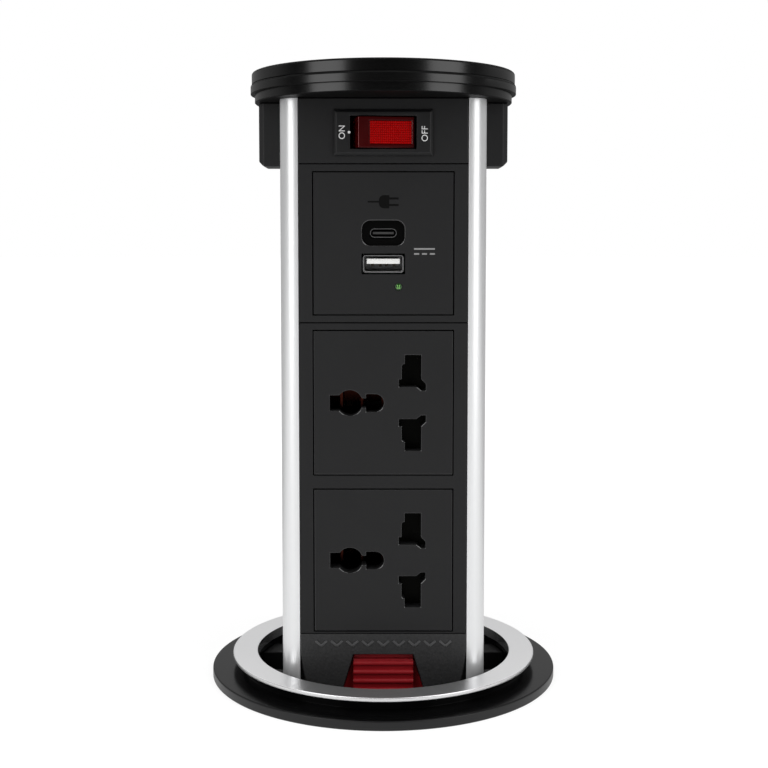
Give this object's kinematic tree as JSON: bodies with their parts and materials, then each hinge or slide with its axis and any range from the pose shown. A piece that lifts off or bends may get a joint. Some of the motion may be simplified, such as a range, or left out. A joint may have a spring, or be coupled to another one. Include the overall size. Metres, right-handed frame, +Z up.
{
  "type": "pop up desk socket",
  "caption": "Round desk collar with a sliding tower that carries a lit rocker switch, a USB module and universal sockets, and a ribbed release button at its foot.",
  "frame": {"origin": "centre of the desk hole, on the desk's surface under the flange", "axes": "+Z up along the tower, -Y towards the front of the sockets, +X to the right seen from the front"},
  "size_m": [0.1174, 0.1174, 0.2649],
  "materials": {
    "black_plastic": "satin moulded",
    "panel_plastic": "fine satin",
    "inner_plastic": "plain moulded",
    "cap_plastic": "polished",
    "seal_rubber": "soft matt",
    "trim_metal": "bead blasted and polished edge",
    "shell_aluminium": "bright anodised",
    "steel": "plain",
    "brass": "plain",
    "rocker_red": "clear red",
    "lens_red": "lit red",
    "button_red": "moulded red",
    "white_plastic": "plain",
    "led_green": "lit green",
    "board_green": "solder mask",
    "shutter_grey": "dull",
    "wire_brown": "sleeve",
    "wire_blue": "sleeve",
    "wire_green": "sleeve"
  },
  "bodies": {
    "collar": {"desk_flange": "black_plastic", "trim_ring": "trim_metal", "desk_gasket": "seal_rubber", "threaded_sleeve": "black_plastic", "flange_screws": "steel", "guide_bush": "inner_plastic", "retaining_ring": "steel"},
    "clamp_washer": {"clamp_washer": "steel"},
    "clamp_nut": {"clamp_nut": "black_plastic"},
    "rocker": {"rocker": "rocker_red", "rocker_lens": "lens_red"},
    "release_button": {"release_button": "button_red"},
    "shutter_upper": {"shutter_upper": "shutter_grey"},
    "shutter_lower": {"shutter_lower": "shutter_grey"},
    "tower": {"back_shell": "shell_aluminium", "head_block": "panel_plastic", "cap_base": "cap_plastic", "cap_seal": "seal_rubber", "cap_plate": "cap_plastic", "cap_screws": "steel", "switch_bezel": "black_plastic", "switch_body": "inner_plastic", "switch_tabs": "brass", "rocker_pin": "steel", "usb_frame": "panel_plastic", "usb_insert": "panel_plastic", "usb_board": "board_green", "usb_c_shell": "steel", "usb_c_tongue": "inner_plastic", "usb_a_shell": "steel", "usb_a_tongue": "white_plastic", "usb_a_contacts": "brass", "usb_terminal": "white_plastic", "power_led": "led_green", "socket_frame": "panel_plastic", "socket_face_upper": "panel_plastic", "socket_face_lower": "panel_plastic", "socket_housing_upper": "inner_plastic", "socket_housing_lower": "inner_plastic", "shutter_spring_upper": "steel", "shutter_spring_lower": "steel", "live_bar": "brass", "neutral_bar": "brass", "earth_bar": "brass", "release_block": "black_plastic", "latch_leaf": "steel", "latch_screws": "steel", "foot_plate": "black_plastic", "foot_screws": "steel", "gland_body": "black_plastic", "gland_nut": "black_plastic", "gland_dome": "black_plastic", "terminal_block": "white_plastic", "live_wire": "wire_brown", "neutral_wire": "wire_blue", "earth_wire": "wire_green"}
  },
  "joints": [
    {"name": "tower_slide", "type": "slide", "parent": "collar", "child": "tower", "axis": [0, 0, 1], "range_m": [-0.189, 0], "deforming": ["latch_leaf"]},
    {"name": "washer_slide", "type": "slide", "parent": "collar", "child": "clamp_washer", "axis": [0, 0, 1], "range_m": [-0.00601, 0.01501]},
    {"name": "nut_turn", "type": "hinge", "parent": "clamp_washer", "child": "clamp_nut", "pos_m": [0, 0, -0.032], "axis": [0, 0, 1], "range_deg": [-360, 900]},
    {"name": "release_press", "type": "slide", "parent": "tower", "child": "release_button", "axis": [0, 1, 0], "range_m": [0, 0.0025], "stiffness_N_per_m": 800, "deforming": ["latch_leaf"]},
    {"name": "rocker_tilt", "type": "hinge", "parent": "tower", "child": "rocker", "pos_m": [0, -0.019, 0.1828], "axis": [0, 0, 1], "range_deg": [-18, 0]},
    {"name": "shutter_upper_slide", "type": "slide", "parent": "tower", "child": "shutter_upper", "axis": [1, 0, 0], "range_m": [-0.0073, 0], "stiffness_N_per_m": 80, "deforming": ["shutter_spring_upper"]},
    {"name": "shutter_lower_slide", "type": "slide", "parent": "tower", "child": "shutter_lower", "axis": [1, 0, 0], "range_m": [-0.0073, 0], "stiffness_N_per_m": 80, "deforming": ["shutter_spring_lower"]}
  ],
  "couplings": [
    {"joint": "washer_slide", "follows": "nut_turn", "m_per_rad": 0.00095493}
  ]
}
